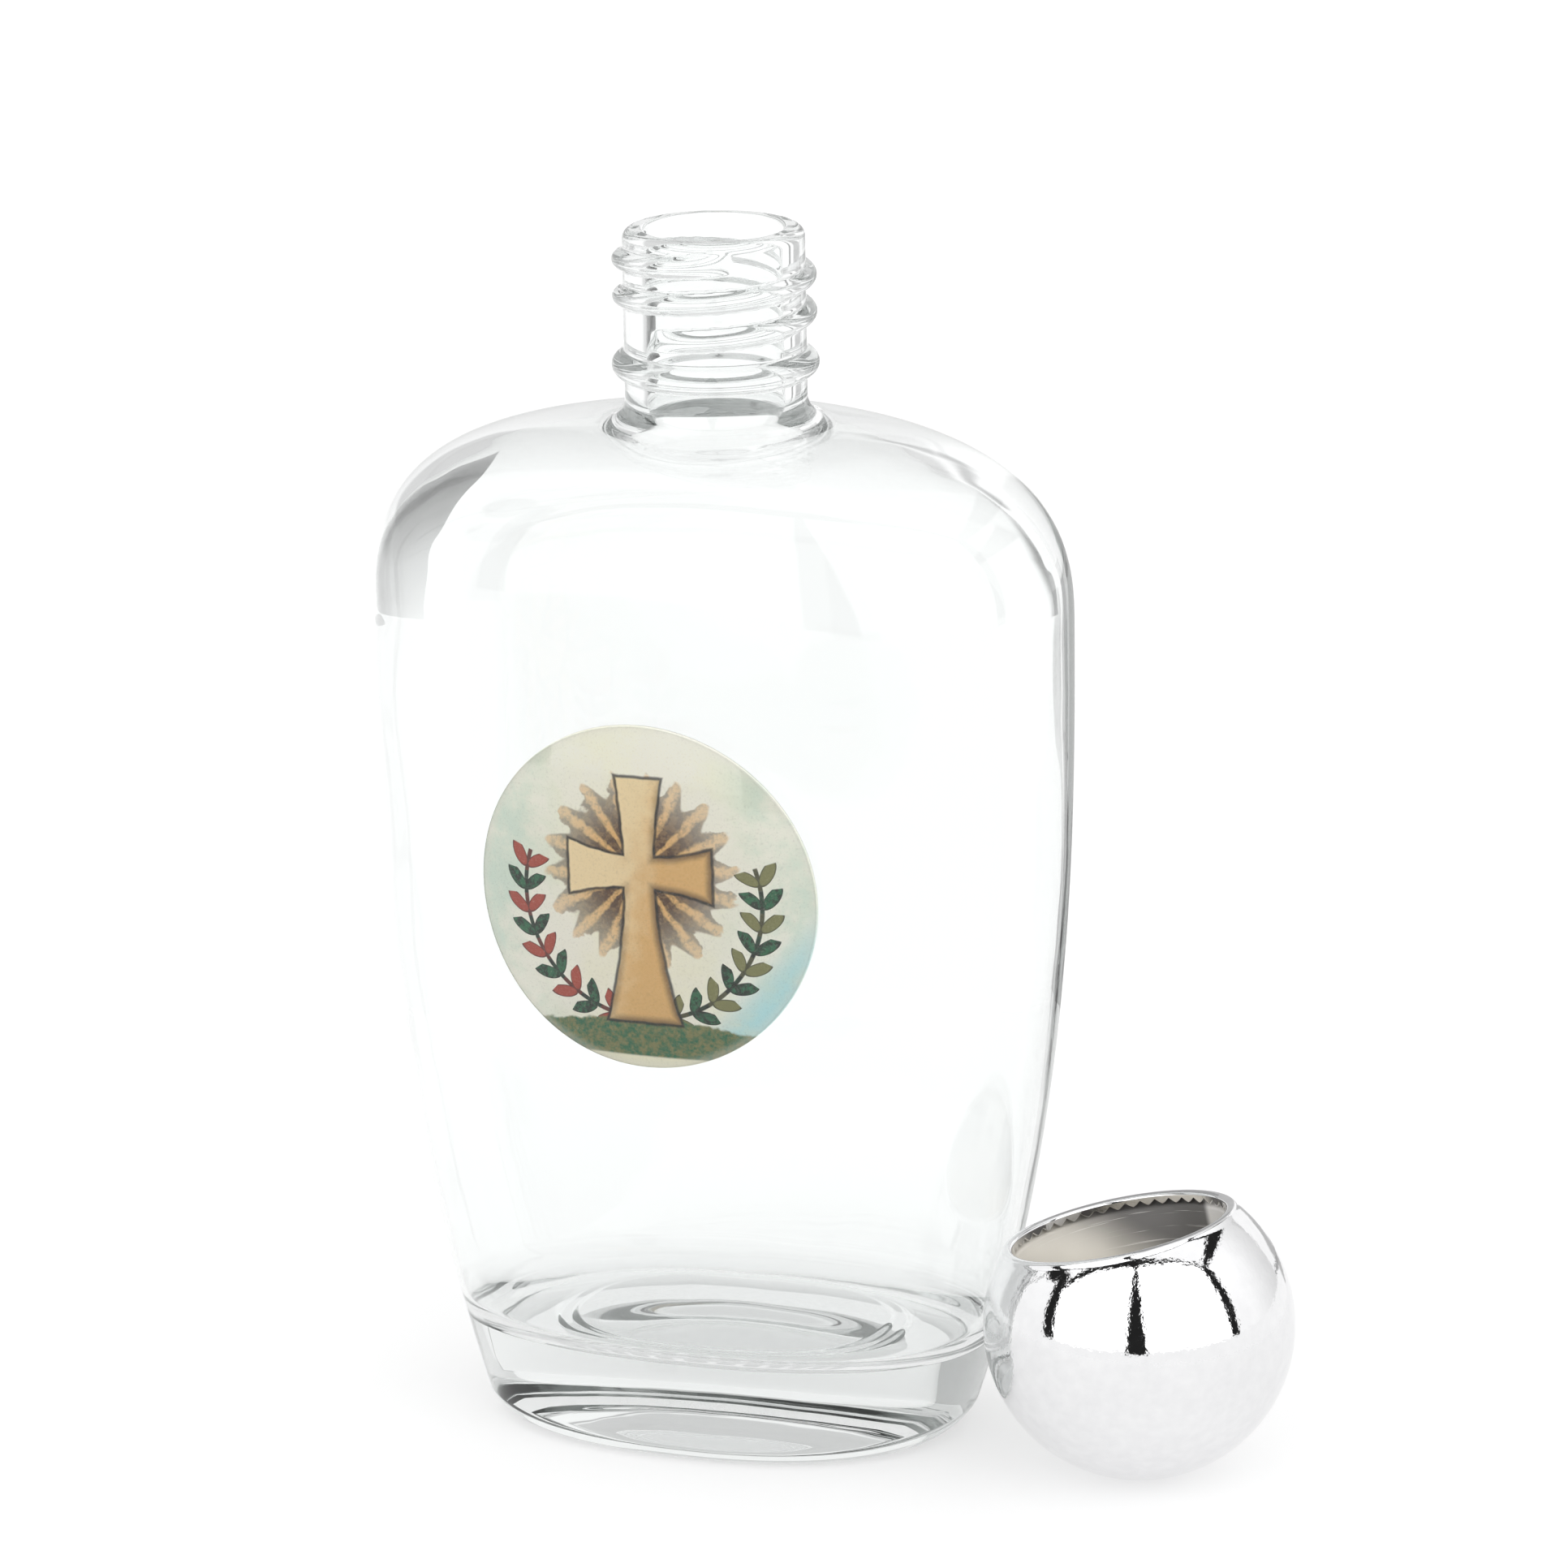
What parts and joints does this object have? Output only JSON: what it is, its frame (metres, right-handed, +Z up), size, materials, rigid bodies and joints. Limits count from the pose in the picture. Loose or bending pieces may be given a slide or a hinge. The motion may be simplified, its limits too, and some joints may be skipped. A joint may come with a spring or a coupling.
{
  "type": "holy water bottle",
  "caption": "Small oval clear glass flask with an open screw neck, a round domed badge on its front and a chrome ball screw cap lying beside it, for carrying holy water.",
  "frame": {"origin": "centre of the flask's base, on the surface that it stands on", "axes": "+Z up along the neck, -Y out of the front face that carries the badge, X along the flask's wide way with the lying cap at +X"},
  "size_m": [0.084, 0.04, 0.106],
  "materials": {
    "clear_glass": "polished",
    "printed_film": "printed, matt",
    "clear_resin": "clear gloss",
    "chrome_shell": "mirror plated",
    "grey_plastic": "satin",
    "liner_foam": "matt"
  },
  "bodies": {
    "flask": {"bottle_glass": "clear_glass", "label_film": "printed_film", "label_dome": "clear_resin"},
    "liner": {"cap_liner": "liner_foam"},
    "cap": {"cap_shell": "chrome_shell", "cap_insert": "grey_plastic"}
  },
  "joints": [
    {"name": "cap_lift", "type": "slide", "parent": "flask", "child": "liner", "axis": [0.2423, -0.0485, 0.969], "range_m": [0, 0.12]},
    {"name": "cap_turn", "type": "hinge", "parent": "liner", "child": "cap", "pos_m": [0.03936, -0.00485, 0.0134], "axis": [-0.2079, 0, 0.9781], "continuous": true}
  ]
}
